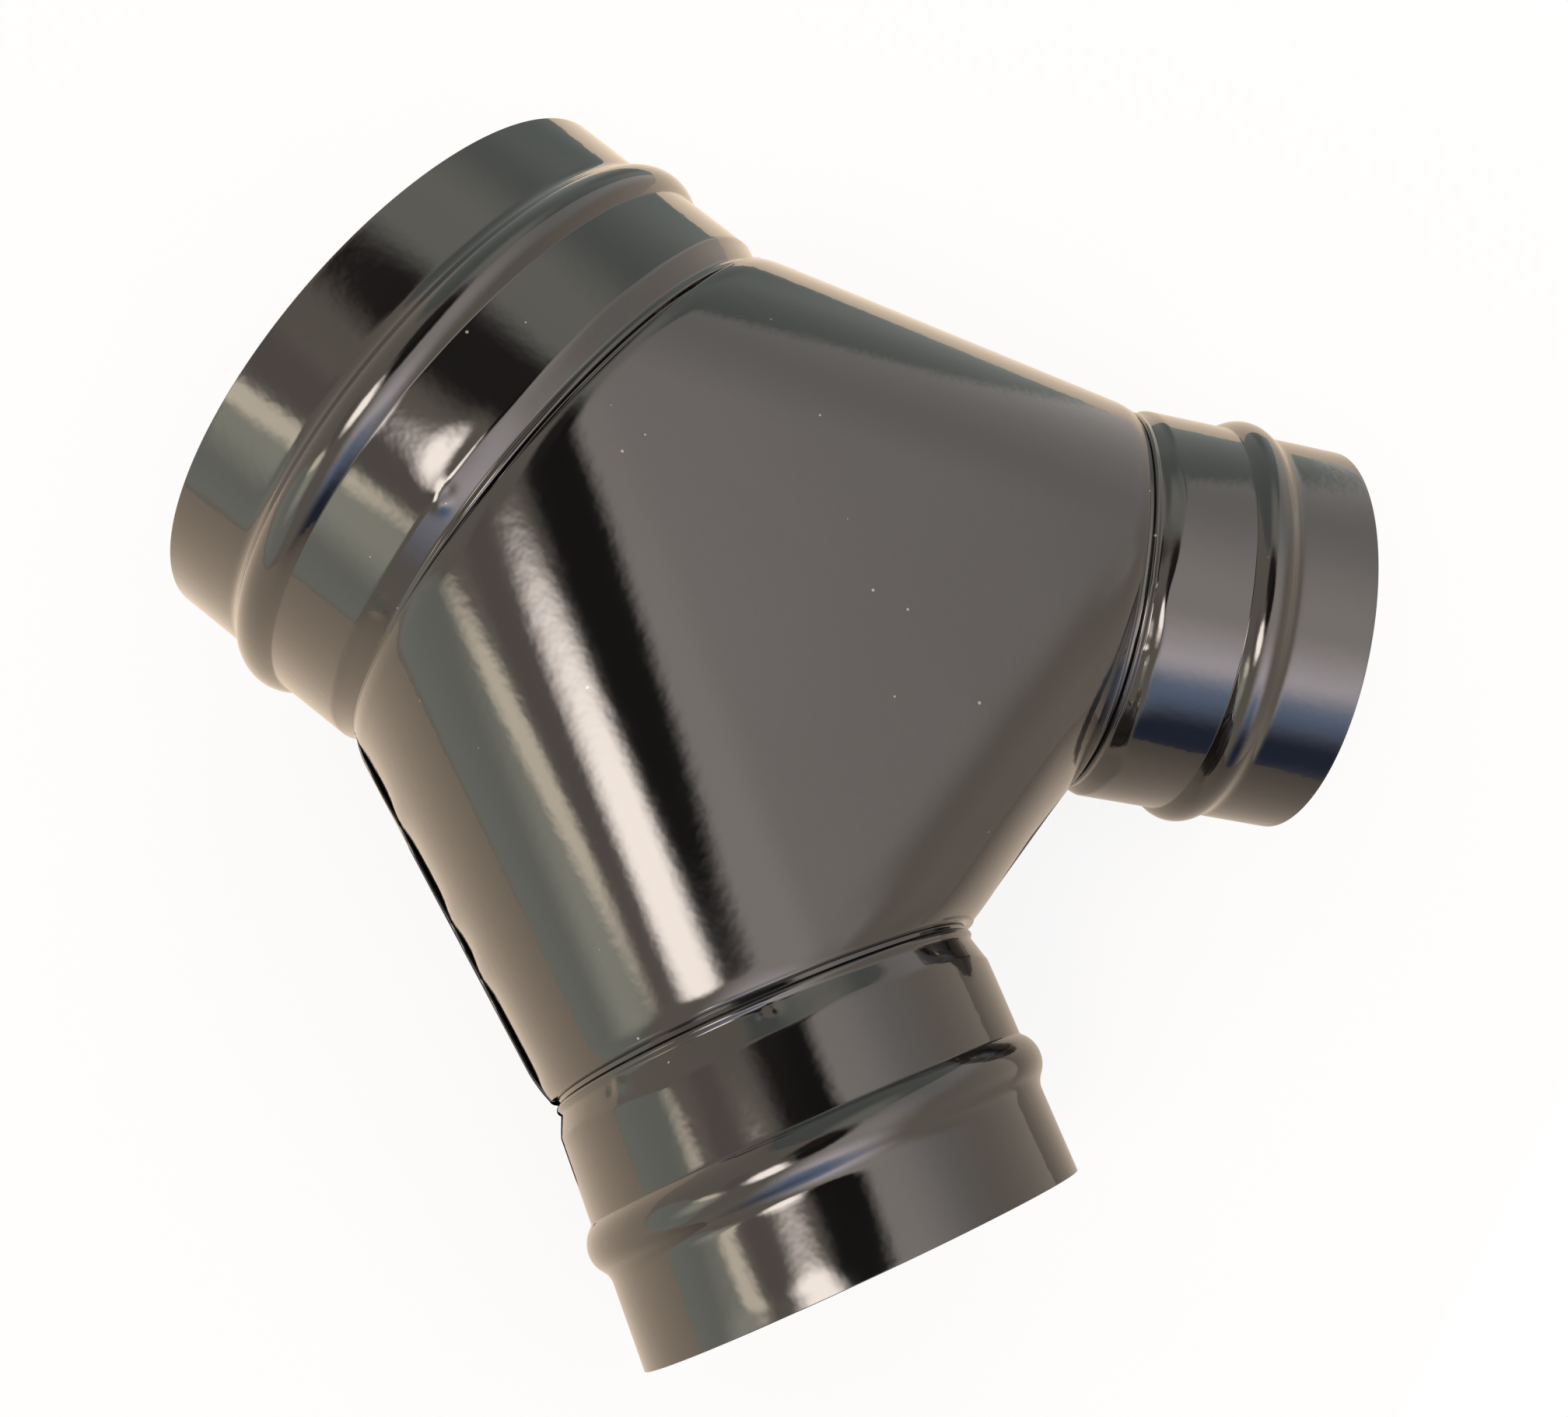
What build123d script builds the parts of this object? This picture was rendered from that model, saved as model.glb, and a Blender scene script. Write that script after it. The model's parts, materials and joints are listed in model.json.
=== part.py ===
from build123d import *
import os
from math import acos, atan, cos, degrees, radians, sin, sqrt, tan

# A Y branch for round sheet-metal duct: one large inlet, two smaller outlets. Millimetres, +Z up.
# Two half shells make the body, and three beaded collars sit in its mouths.
# It lies on its back, on the body's edge at the inlet and on the beads of the outlets, with the
# floor at z = 0.

# Sheet
sheet = 0.6
slide = 0.1  # clearance between sheets that slide over each other

# Body
body_length = 108.5  # inlet joint to the centres of the outlet joints, along the main axis
outlet_spread = 133.5  # between the centres of the outlet joints
branch_angle = 30.0  # between the main axis and each outlet
mouth_bow = 3.0  # the inlet edge reaches this much further out at the side seams
seam_gap = 0.9  # open line between the edges of the half shells
seam_lap = 4.0  # the lower shell's tongue runs this far up behind the upper edge
seam_clearance = 1.5  # from the tongue's ends to the ends of the collars inside

# Collars
inlet_spigot = 148.0  # outside diameters beyond the bead, where the next duct slides on
outlet_spigot = 99.0
inlet_step = 1.5  # the neck's radius is this much larger than the spigot's
outlet_step = 0.3
collar_length = 57.0  # joint to rim
collar_lap = 5.0  # length inside the body
neck_length = 26.0  # joint to the foot of the bead
bead_height = 2.5  # above the neck
bead_radius = 6.5
bead_foot = 0.6  # fillet on the neck side
bead_run_out = 4.5  # fillet on the spigot side

# Swaged end of each collar, next to the joint
inlet_seat_drop = 2.6  # the seat in the mouth is this far below the mouth's outside
outlet_seat_drop = 1.9
seat_taper = 12.0  # lead-in angle of the end inside the body
groove_width = 0.9
ridge_height = 0.9
ridge_radius = 0.8
ridge_foot = 0.4
ridge_run_out = 1.0
taper_low = 0.4  # the neck comes down to this height above the seat, just outside the ridge
taper_length = 5.0


def touching_slope(run, large, small):
    """Slope of the plane that rests on the inlet's circle and on both outlet circles."""
    lean = small * sin(radians(branch_angle))
    reach = run**2 - lean**2
    return (run * large - sqrt(run**2 * large**2 - reach * (large**2 - small**2))) / reach


def turn(rise, first_radius, second_radius):
    """Angle of two tangent arcs that climb by rise, in degrees."""
    return degrees(acos(1 - rise / (first_radius + second_radius)))


# The necks, and the body's mouths flush with them
inlet_neck = inlet_spigot + 2 * inlet_step
outlet_neck = outlet_spigot + 2 * outlet_step
seam_setback = collar_lap + seam_clearance

# Where the crests of the beads lie
crest_rise = radians(turn(bead_height, bead_foot, bead_radius))
crest_station = neck_length + (bead_foot + bead_radius) * sin(crest_rise)
outlet_crest = outlet_neck / 2 + bead_height
outlet_run = body_length + crest_station * cos(radians(branch_angle))

# The pose at rest: the outlets lie on their beads, and the inlet on the body's edge or on its bead,
# whichever meets the floor first. Each is the station and the radius of a circle about the axis.
inlet_supports = ((0, inlet_neck / 2), (crest_station, inlet_neck / 2 + bead_height))
rest_slope = max(touching_slope(outlet_run + station, r, outlet_crest) for station, r in inlet_supports)
tilt = atan(rest_slope)
height = max(r - rest_slope * station for station, r in inlet_supports) * cos(tilt)

# The outline's reach along X, to centre it over the origin
outlet_rim_run = body_length + collar_length * cos(radians(branch_angle))
rim_swing = sqrt((sin(radians(branch_angle)) * cos(tilt)) ** 2 + sin(tilt) ** 2)
reach_inlet = collar_length * cos(tilt) + inlet_spigot / 2 * sin(tilt)
reach_outlet = outlet_rim_run * cos(tilt) + outlet_spigot / 2 * rim_swing
centring = (reach_outlet - reach_inlet) / 2

# The duct's own mid-plane: x along the main axis out of the inlet, y across, z to the front face
duct = Plane(origin=(centring, 0, height), x_dir=(cos(tilt), 0, sin(tilt)), z_dir=(-sin(tilt), 0, cos(tilt)))


def spot(x, y, z):
    """A point of the duct's own frame, where it lies."""
    return duct.from_local_coords(Vector(x, y, z))


def heading(x, y):
    """A direction in the duct's mid-plane, where it lies."""
    return spot(x, y, 0) - duct.origin


def outlet_seat(side):
    """Plane of one outlet collar: x out of the outlet, z to the front face."""
    leave = radians(branch_angle)
    return Plane(
        origin=spot(-body_length, side * outlet_spread / 2, 0),
        x_dir=heading(-cos(leave), side * sin(leave)),
        z_dir=duct.z_dir,
    )


seats = {
    "inlet_collar": duct,
    "outlet_collar_left": outlet_seat(-1),
    "outlet_collar_right": outlet_seat(1),
}


# The body is the tight skin over three circles: flat in front, flat behind, round at the sides


def mouth_point(radius, side, angle, outlet):
    """A point of a mouth's circle; angle 0 is at the outer side, 90 in front."""
    if outlet:
        leave = radians(branch_angle)
        x, y = -body_length, side * outlet_spread / 2
        across_x, across_y = sin(leave), side * cos(leave)
    else:
        x, y = mouth_bow, 0
        across_x, across_y = 0, side
    across = radius * cos(radians(angle))
    return spot(x + across * across_x, y + across * across_y, radius * sin(radians(angle)))


def mouth_arc(radius, side, first, last, outlet):
    """An arc of a mouth's circle."""
    points = [mouth_point(radius, side, angle, outlet) for angle in (first, (first + last) / 2, last)]
    with BuildLine() as arc:
        ThreePointArc(*points)
    return arc.edges()[0]


def flat_face(edges):
    """A plane face inside a closed ring of edges."""
    return Face(Wire(edges))


def half_skin(depth, upward):
    """The solid between the mid-plane and the front (1) or rear (-1) skin, depth below the surface."""
    large = inlet_neck / 2 - depth
    small = outlet_neck / 2 - depth
    slope = touching_slope(body_length + mouth_bow, large, small)
    touch = 90 + degrees(atan(slope * sin(radians(branch_angle))))
    faces = []
    inlet_arcs = []
    rim = {}
    for side in (1, -1):
        inlet_arc = mouth_arc(large, side, upward * 90, 0, False)
        outer_arc = mouth_arc(small, side, upward * touch, 0, True)
        inner_arc = mouth_arc(small, side, upward * touch, upward * 180, True)
        faces.append(Face.make_surface_from_curves(inlet_arc, outer_arc))
        ends = mouth_point(small, side, 180, True), mouth_point(small, side, 0, True)
        faces.append(flat_face([outer_arc, inner_arc, Edge.make_line(*ends)]))
        inlet_arcs.append(inlet_arc)
        rim[side] = inner_arc
    faces.append(Face.make_surface_from_curves(rim[1], rim[-1]))
    sides = mouth_point(large, 1, 0, False), mouth_point(large, -1, 0, False)
    faces.append(flat_face([*inlet_arcs, Edge.make_line(*sides)]))
    front = [mouth_point(large, 1, upward * 90, False)]
    front += [mouth_point(small, side, upward * touch, True) for side in (1, -1)]
    faces.append(flat_face(Wire.make_polygon(front, close=True).edges()))
    middle = [mouth_point(large, 1, 0, False), mouth_point(small, 1, 0, True), mouth_point(small, 1, 180, True)]
    middle += [mouth_point(small, -1, 180, True), mouth_point(small, -1, 0, True), mouth_point(large, -1, 0, False)]
    faces.append(flat_face(Wire.make_polygon(middle, close=True).edges()))
    return Solid(Shell(faces))


def inlet_trim(setback):
    """What lies outside the bowed inlet edge, moved in by setback."""
    reach = inlet_neck / 2
    upright = Plane(origin=duct.origin, x_dir=duct.x_dir, z_dir=heading(0, -1))
    with BuildPart() as trim:
        with BuildSketch(upright):
            with BuildLine():
                edge = ThreePointArc((-setback, reach), (mouth_bow - setback, 0), (-setback, -reach))
                Line(edge @ 1, (-setback, -2 * reach))
                Polyline(
                    (-setback, -2 * reach),
                    (reach, -2 * reach),
                    (reach, 2 * reach),
                    (-setback, 2 * reach),
                    (-setback, reach),
                )
            make_face()
        extrude(amount=2 * reach, both=True)
    return trim.part


def body_form(depth, setback):
    """The body as a solid, depth below its surface and cut off setback inside its mouths."""
    front = half_skin(depth, 1)
    rear = half_skin(depth, -1)
    outside = inlet_trim(setback)
    with BuildPart() as form:
        add(front)
        add(rear)
        add(outside, mode=Mode.SUBTRACT)
        if setback:
            for side in (1, -1):
                seat = outlet_seat(side)
                mouth = Plane(origin=seat.origin, z_dir=seat.x_dir).offset(-setback)
                split(bisect_by=mouth, keep=Keep.BOTTOM)
    return form.part


surface = body_form(0, 0)
inside = body_form(sheet, sheet)
tongue_face = body_form(sheet + slide, seam_setback)
tongue_back = body_form(2 * sheet + slide, seam_setback / 2)
joggle_face = body_form(0, seam_setback)


# The skin, its mouths lipped inwards: the outlets onto the collars' seats, and the bowed inlet edge
# onto its collar's ridge, which it crosses at the side seams
with BuildPart() as skin:
    add(surface)
    add(inside, mode=Mode.SUBTRACT)
    for name, seat in seats.items():
        bore = outlet_neck / 2 - outlet_seat_drop + slide
        if name == "inlet_collar":
            bore = inlet_neck / 2 - inlet_seat_drop + ridge_height + slide
        with BuildSketch(Plane(origin=seat.origin, z_dir=seat.x_dir).offset(-2 * sheet)):
            Circle(bore)
        extrude(amount=mouth_bow + 3 * sheet, mode=Mode.SUBTRACT)

with BuildPart() as upper_shell:
    add(skin.part)
    split(bisect_by=duct.offset(seam_gap / 2), keep=Keep.TOP)

# The tongue stands behind the upper shell's edge and closes the seam
with BuildPart() as tongue:
    add(tongue_face)
    add(tongue_back, mode=Mode.SUBTRACT)
    split(bisect_by=duct.offset(seam_lap), keep=Keep.BOTTOM)
    split(bisect_by=duct.offset(-seam_gap / 2 - sheet), keep=Keep.TOP)

with BuildPart() as joggle:
    add(joggle_face)
    add(tongue_back, mode=Mode.SUBTRACT)
    split(bisect_by=duct.offset(-seam_gap / 2), keep=Keep.BOTTOM)
    split(bisect_by=duct.offset(-seam_gap / 2 - sheet), keep=Keep.TOP)

with BuildPart() as lower_shell:
    add(skin.part)
    split(bisect_by=duct.offset(-seam_gap / 2), keep=Keep.BOTTOM)
    add(joggle.part)
    add(tongue.part)


# Each collar is turned from its wall's section: x along the collar from the joint, y its radius


def collar_wall(seat, neck, spigot):
    """Closed outline of a collar's wall, from its radii in the seat, on the neck and at the spigot."""
    lead_in = collar_lap * tan(radians(seat_taper))
    climb = turn(ridge_height, ridge_foot, ridge_radius)
    fall = turn(ridge_height - taper_low, ridge_radius, ridge_run_out)
    bead_climb = turn(bead_height, bead_foot, bead_radius)
    bead_fall = turn(bead_height + neck - spigot, bead_radius, bead_run_out)

    # Outside, from the end in the body to the rim
    Line((-collar_lap, seat - lead_in), (0, seat))
    Line((0, seat), (groove_width, seat))
    foot = JernArc((groove_width, seat), (1, 0), ridge_foot, climb)
    top = JernArc(foot @ 1, foot % 1, ridge_radius, -climb - fall)
    run_out = JernArc(top @ 1, top % 1, ridge_run_out, fall)
    taper_end = (run_out @ 1).X + taper_length
    Line(run_out @ 1, (taper_end, neck))
    Line((taper_end, neck), (neck_length, neck))
    bead = JernArc((neck_length, neck), (1, 0), bead_foot, bead_climb)
    bead = JernArc(bead @ 1, bead % 1, bead_radius, -bead_climb - bead_fall)
    bead = JernArc(bead @ 1, bead % 1, bead_run_out, bead_fall)
    Line(bead @ 1, (collar_length, spigot))

    # Inside, one sheet thickness below, and plain under the ridge
    Line((collar_length, spigot), (collar_length, spigot - sheet))
    Line((collar_length, spigot - sheet), ((bead @ 1).X, spigot - sheet))
    bead = JernArc(((bead @ 1).X, spigot - sheet), (-1, 0), bead_run_out + sheet, -bead_fall)
    bead = JernArc(bead @ 1, bead % 1, bead_radius - sheet, bead_climb + bead_fall)
    bead = JernArc(bead @ 1, bead % 1, bead_foot + sheet, -bead_climb)
    Line(bead @ 1, (taper_end, neck - sheet))
    Line((taper_end, neck - sheet), ((run_out @ 1).X, seat - sheet))
    Line(((run_out @ 1).X, seat - sheet), (0, seat - sheet))
    Line((0, seat - sheet), (-collar_lap, seat - lead_in - sheet))
    Line((-collar_lap, seat - lead_in - sheet), (-collar_lap, seat - lead_in))


def collar(name):
    """One collar, turned about its seat's x axis."""
    seat = seats[name]
    radii = (outlet_neck / 2 - outlet_seat_drop, outlet_neck / 2, outlet_spigot / 2)
    if name == "inlet_collar":
        radii = (inlet_neck / 2 - inlet_seat_drop, inlet_neck / 2, inlet_spigot / 2)
    with BuildPart() as tube:
        with BuildSketch(seat):
            with BuildLine():
                collar_wall(*radii)
            make_face()
        revolve(axis=Axis(seat.origin, seat.x_dir))
    return tube.part


pieces = {"upper_shell": upper_shell.part, "lower_shell": lower_shell.part}
for name in seats:
    pieces[name] = collar(name)

os.makedirs("parts", exist_ok=True)
for name, piece in pieces.items():
    piece.label = name
    export_step(piece, f"parts/{name}.step")

# The frame that a drawing needs: tilt of the duct, and where each collar's rim ends
print(f"tilt {degrees(tilt):.3f} deg, inlet joint at x {duct.origin.X:.3f} z {duct.origin.Z:.3f}")
for name, seat in seats.items():
    rim = seat.origin + seat.x_dir * collar_length
    print(name, "rim", [round(v, 3) for v in rim], "axis", [round(v, 5) for v in seat.x_dir])
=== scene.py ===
# %% [markdown]
# # A painted duct Y branch
#
# The real piece is thin sheet steel: a pressed body of two half shells, and three rolled collars
# that sit in its mouths. All of it is sprayed in a glossy black stove paint.
#
# Black gloss has almost no colour of its own, so what a viewer sees is the room in the paint.
# Two things therefore carry the likeness: smooth, exact surfaces, and the light that they mirror.

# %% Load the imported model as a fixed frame
import json
from math import acos, asin, atan, atan2, cos, degrees, pi, radians, sin, sqrt, tan

import bmesh
import bpy
import numpy as np
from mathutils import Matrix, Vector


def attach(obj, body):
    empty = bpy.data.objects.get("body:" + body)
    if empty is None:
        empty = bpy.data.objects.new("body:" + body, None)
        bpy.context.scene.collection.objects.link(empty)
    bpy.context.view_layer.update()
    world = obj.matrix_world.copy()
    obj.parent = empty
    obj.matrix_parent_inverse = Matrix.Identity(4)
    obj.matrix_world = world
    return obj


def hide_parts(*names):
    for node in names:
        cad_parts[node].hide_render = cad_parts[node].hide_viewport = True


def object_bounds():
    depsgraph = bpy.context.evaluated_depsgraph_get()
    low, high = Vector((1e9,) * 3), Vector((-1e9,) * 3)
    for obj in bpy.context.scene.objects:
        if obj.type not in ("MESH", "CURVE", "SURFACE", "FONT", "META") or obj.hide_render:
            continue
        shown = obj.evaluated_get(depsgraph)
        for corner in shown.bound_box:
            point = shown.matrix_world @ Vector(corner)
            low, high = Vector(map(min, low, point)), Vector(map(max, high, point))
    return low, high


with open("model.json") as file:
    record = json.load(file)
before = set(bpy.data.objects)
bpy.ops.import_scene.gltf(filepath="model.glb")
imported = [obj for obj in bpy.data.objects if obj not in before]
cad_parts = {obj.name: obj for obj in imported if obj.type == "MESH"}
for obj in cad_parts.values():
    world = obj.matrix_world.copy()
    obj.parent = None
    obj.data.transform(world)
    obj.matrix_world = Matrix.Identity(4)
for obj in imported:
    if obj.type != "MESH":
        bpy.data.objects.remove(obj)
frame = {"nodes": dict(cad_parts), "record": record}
cad_low, cad_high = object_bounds()
mounts = {mount["name"]: mount for mount in frame["record"]["mounts"]}
print("nodes", sorted(frame["nodes"]), "mounts", sorted(mounts))

# %% [markdown]
# ## Where the duct lies
#
# The branch lies on the beads of its collars, tipped by a few degrees. It is much easier to model
# it straight, in its own frame, and to carry the finished meshes over at the end. That frame has
# its origin in the middle of the large joint: x runs out of the inlet, y across, z to the front.
# The record gives each spigot's middle, axis and length, and the rest follows from those.

# %% The duct's own frame
mm = 0.001
collar_length = 57.0  # from a joint to the collar's rim

inlet = mounts["inlet_spigot"]
main_axis = np.array(inlet["axis"])
inlet_rim = np.array(inlet["pos_m"]) / mm + main_axis * inlet["dims"]["length_mm"] / 2
duct_origin = inlet_rim - main_axis * collar_length
across = np.array([0.0, 1.0, 0.0])
to_front = np.cross(main_axis, across)
duct_axes = np.array([main_axis, across, to_front])
print("the duct leans by", round(degrees(atan(main_axis[2] / main_axis[0])), 2), "degrees")


def into_duct(point_m):
    """A point of the row's frame, in metres, as millimetres in the duct's own frame."""
    return duct_axes @ (np.array(point_m) / mm - duct_origin)


def lay_down(points):
    """Points of the duct's frame, in millimetres, where they lie in the row's frame, in metres."""
    return (np.asarray(points) @ duct_axes + duct_origin) * mm


# %% The outlets' joints
inlet_neck = 75.5  # outside radii of the necks, and of the body's mouths
outlet_neck = 49.8
inlet_spigot = inlet["dims"]["r_mm"]
outlet_spigot = mounts["outlet_right_spigot"]["dims"]["r_mm"]

outlet = mounts["outlet_right_spigot"]
outlet_axis = duct_axes @ np.array(outlet["axis"])
outlet_rim = into_duct(outlet["pos_m"]) + outlet_axis * outlet["dims"]["length_mm"] / 2
outlet_joint = outlet_rim - outlet_axis * collar_length
branch_angle = atan(outlet_axis[1] / -outlet_axis[0])
print("outlet joint at", outlet_joint.round(2), "branching by", round(degrees(branch_angle), 1))

# %% [markdown]
# ## From rows of points to a sheet
#
# Everything here is thin sheet, and each piece can be described by a grid: rows along it, columns
# around it. Blender's curves, or a coarse cage under a Subdivision Surface, would also give smooth
# sheet, but they round off the tight bends. A grid of worked-out points keeps each bend where the
# press put it. `sheet_piece` turns such grids into one mesh and welds the points that they share.

# %% A helper that makes a mesh from grids of points
weld = 0.004  # points closer than this, in millimetres, become one


def sheet_piece(name, grids, sharp_angle=35.0):
    """One smooth-shaded mesh object from grids of points (rows, columns, 3) in the duct's frame.

    Each grid comes with a word on whether it closes round on itself, as a tube does.
    """
    mesh = bmesh.new()
    for points, closed in grids:
        rows, columns = points.shape[:2]
        flat = lay_down(points.reshape(-1, 3))
        verts = [mesh.verts.new(point) for point in flat]
        for row in range(rows - 1):
            for column in range(columns if closed else columns - 1):
                step = (column + 1) % columns
                corners = [
                    verts[row * columns + column],
                    verts[row * columns + step],
                    verts[(row + 1) * columns + step],
                    verts[(row + 1) * columns + column],
                ]
                mesh.faces.new(corners)
    bmesh.ops.remove_doubles(mesh, verts=mesh.verts, dist=weld * mm)
    bmesh.ops.dissolve_degenerate(mesh, edges=mesh.edges, dist=weld * mm)
    bmesh.ops.recalc_face_normals(mesh, faces=mesh.faces)
    data = bpy.data.meshes.new(name)
    mesh.to_mesh(data)
    mesh.free()
    piece = bpy.data.objects.new(name, data)
    bpy.context.collection.objects.link(piece)
    data.shade_smooth()
    data.set_sharp_from_angle(angle=radians(sharp_angle))
    return piece


# %% [markdown]
# ## The collars
#
# A real collar is a strip rolled into a tube and seamed, then run between shaped wheels. The wheels
# leave a bead, which stops the next duct from sliding on too far, and near the joint a groove and
# a fine ridge that grip the body's edge. Such a piece is the same all the way round, so one section
# is drawn and turned about the axis, like a pot on a wheel.
#
# The section is drawn with a pen that knows its heading: straight runs and tangent bends, as sheet
# really takes them. A Screw modifier could do the turning. The points are turned here by a formula
# instead, because the workshop's dents have to be pressed into them afterwards.

# %% A pen that draws the section of a collar
fine_turn = radians(8)  # an arc gets a point at least this often


class Pen:
    """Draws straight runs and tangent bends: x along the collar, y the radius."""

    def __init__(self, x, y, heading=0.0):
        self.points = [(x, y)]
        self.heading = heading

    def line_to(self, x, y, pieces=1):
        """A straight run to a point, in even pieces."""
        start_x, start_y = self.points[-1]
        for piece in range(1, pieces + 1):
            share = piece / pieces
            self.points.append((start_x + (x - start_x) * share, start_y + (y - start_y) * share))
        self.heading = np.arctan2(y - start_y, x - start_x)

    def bend(self, radius, turn):
        """An arc that starts along the heading, to the left for a turn above 0."""
        x, y = self.points[-1]
        side = 1 if turn > 0 else -1
        centre_x = x - side * radius * sin(self.heading)
        centre_y = y + side * radius * cos(self.heading)
        steps = max(3, int(abs(turn) / fine_turn) + 1)
        for step in range(1, steps + 1):
            now = self.heading + turn * step / steps
            here_x = centre_x + side * radius * sin(now)
            here_y = centre_y - side * radius * cos(now)
            self.points.append((here_x, here_y))
        self.heading += turn


def climb(rise, first_radius, second_radius):
    """The angle through which two opposite bends climb by a rise."""
    return acos(1 - rise / (first_radius + second_radius))


print("a quarter bend gets", int(pi / 2 / fine_turn) + 1, "points")

# %% The section's sizes
# millimetres, from the joint outwards; each swelling has a foot, a crown and a run-out
sheet = 0.6
seat_taper = radians(12)
collar_lap = 5.0  # length inside the body
groove_width = 0.9
ridge_height = 0.9
ridge_foot = 0.4
ridge_radius = 0.8
ridge_run_out = 1.0
taper_low = 0.4  # how far the taper starts above the seat
taper_length = 5.0
neck_length = 26.0
bead_height = 2.5
bead_foot = 0.6
bead_radius = 6.5
bead_run_out = 4.5
rim_round = 0.15  # the cut edge of the sheet, softened by the paint


def collar_section(seat, neck, spigot):
    """Outside line of a collar, then back along its inside."""
    ridge_climb = climb(ridge_height, ridge_foot, ridge_radius)
    ridge_fall = climb(ridge_height - taper_low, ridge_radius, ridge_run_out)
    bead_climb = climb(bead_height, bead_foot, bead_radius)
    bead_fall = climb(bead_height + neck - spigot, bead_radius, bead_run_out)
    pen = Pen(-collar_lap, seat - collar_lap * tan(seat_taper))
    pen.line_to(0, seat, 4)
    pen.line_to(groove_width, seat, 2)
    pen.bend(ridge_foot, ridge_climb)
    pen.bend(ridge_radius, -ridge_climb - ridge_fall)
    pen.bend(ridge_run_out, ridge_fall)
    run_out = pen.points[-1][0]
    taper_end = run_out + taper_length
    pen.line_to(taper_end, neck, 10)
    pen.line_to(neck_length, neck, 26)
    pen.bend(bead_foot, bead_climb)
    pen.bend(bead_radius, -bead_climb - bead_fall)
    pen.bend(bead_run_out, bead_fall)
    bead_end = pen.points[-1][0]
    pen.line_to(collar_length - rim_round, spigot, 20)
    pen.bend(rim_round, -pi / 2)
    pen.line_to(collar_length, spigot - sheet + rim_round)
    pen.bend(rim_round, -pi / 2)
    pen.line_to(bead_end, spigot - sheet, 10)
    pen.heading = pi
    pen.bend(bead_run_out + sheet, -bead_fall)
    pen.bend(bead_radius - sheet, bead_climb + bead_fall)
    pen.bend(bead_foot + sheet, -bead_climb)
    pen.line_to(taper_end, neck - sheet, 8)
    pen.line_to(run_out, seat - sheet, 4)
    pen.line_to(0, seat - sheet, 2)
    pen.line_to(-collar_lap, seat - sheet - collar_lap * tan(seat_taper), 2)
    return np.array(pen.points + pen.points[:1])


inlet_seat = inlet_neck - 2.6  # the groove's floor lies this far below the neck
outlet_seat = outlet_neck - 1.9
sections = {
    "inlet": collar_section(inlet_seat, inlet_neck, inlet_spigot),
    "outlet": collar_section(outlet_seat, outlet_neck, outlet_spigot),
}
for mouth, section in sections.items():
    print(mouth, "section has", len(section), "points, radius up to", section[:, 1].max().round(2))

# %% [markdown]
# ## What the workshop left in the collars
#
# A collar that was rolled and squeezed into a body by hand isn't a perfect turned part. Its tube
# waves a little, the crease where the taper meets the neck wanders, and the pliers left a few small
# pinches beside the joint. Gloss shows all of that, so each collar's grid is shifted by it: radii
# by waves and pinches, stations near the crease by the wander. Sculpting would do this as well, but
# here every term is a plain sine or bell curve, which keeps the surface smooth and the result the
# same on each run.

# %% Waves, wandering crease and pinches
# station in mm, angle in degrees, reach along and around in mm, height in mm, below 0 for a dent
pinches = {
    "inlet_collar": (
        (6.7, 55.4, 1.4, 1.6, 0.45), (7.6, 58.0, 1.3, 1.5, -0.30),
        (5.6, 34.2, 1.2, 1.4, 0.35), (6.4, 35.8, 1.1, 1.2, -0.25),
        (10.5, 64.0, 3.2, 7.5, -0.36),
        (1.5, 18.0, 0.9, 45.0, -0.8),
    ),
    "outlet_collar_left": (
        (2.9, 107.6, 0.9, 1.1, 0.16), (3.9, 109.6, 0.8, 1.0, -0.15),
        (3.9, 127.2, 0.9, 1.1, 0.20), (4.9, 129.4, 0.8, 1.0, -0.17),
        (4.5, 67.6, 0.9, 3.5, 0.18), (5.2, 82.0, 0.9, 6.0, 0.14),
        (6.5, 139.0, 2.6, 5.0, -0.33),
    ),
    "outlet_collar_right": (
        (4.0, 142.8, 1.2, 1.5, 0.32), (5.0, 145.6, 1.1, 1.3, -0.25),
        (3.9, 100.0, 1.2, 1.4, 0.30), (4.9, 102.4, 1.1, 1.3, -0.25),
        (57.5, 117.0, 3.0, 14.0, -0.50),
    ),
}
# lobes around, wavelength along in mm, phases, height in mm
collar_waves = {
    "inlet_collar": ((5, 90, 0.4, 1.1, 0.10), (9, 58, 2.2, 0.3, 0.05), (14, 37, 4.0, 2.0, 0.02)),
    "outlet_collar_left": ((4, 80, 1.3, 0.2, 0.06), (7, 47, 0.1, 2.6, 0.03)),
    "outlet_collar_right": ((4, 85, 2.9, 1.9, 0.06), (8, 43, 1.7, 0.8, 0.03)),
}
# lobes around, phase, shift in mm; no lobes shift the whole crease towards the joint
crease_wander = {
    "inlet_collar": ((3, 0.6, 0.5), (11, 2.1, 0.15), (23, 0.4, 0.06)),
    "outlet_collar_left": ((0, pi / 2, -1.3), (4, 2.2, 0.8), (9, 0.5, 0.45), (17, 3.0, 0.2)),
    "outlet_collar_right": ((3, 1.2, 0.7), (10, 2.7, 0.25), (19, 0.9, 0.1)),
}


crease_place, crease_reach = 8.0, 3.2  # where the crease is, and how far its wander reaches
grip_end = 3.0  # up to here the body holds the collar, and nothing wanders
waves_start, waves_full = 4.0, 12.0
rim_hold, rim_share = 12.0, 0.25  # the waves fade this far from the rim, down to this share


def bell(distance):
    """1 in the middle, falling off smoothly to about a third at a distance of 1."""
    return np.exp(-(distance**2))


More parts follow.
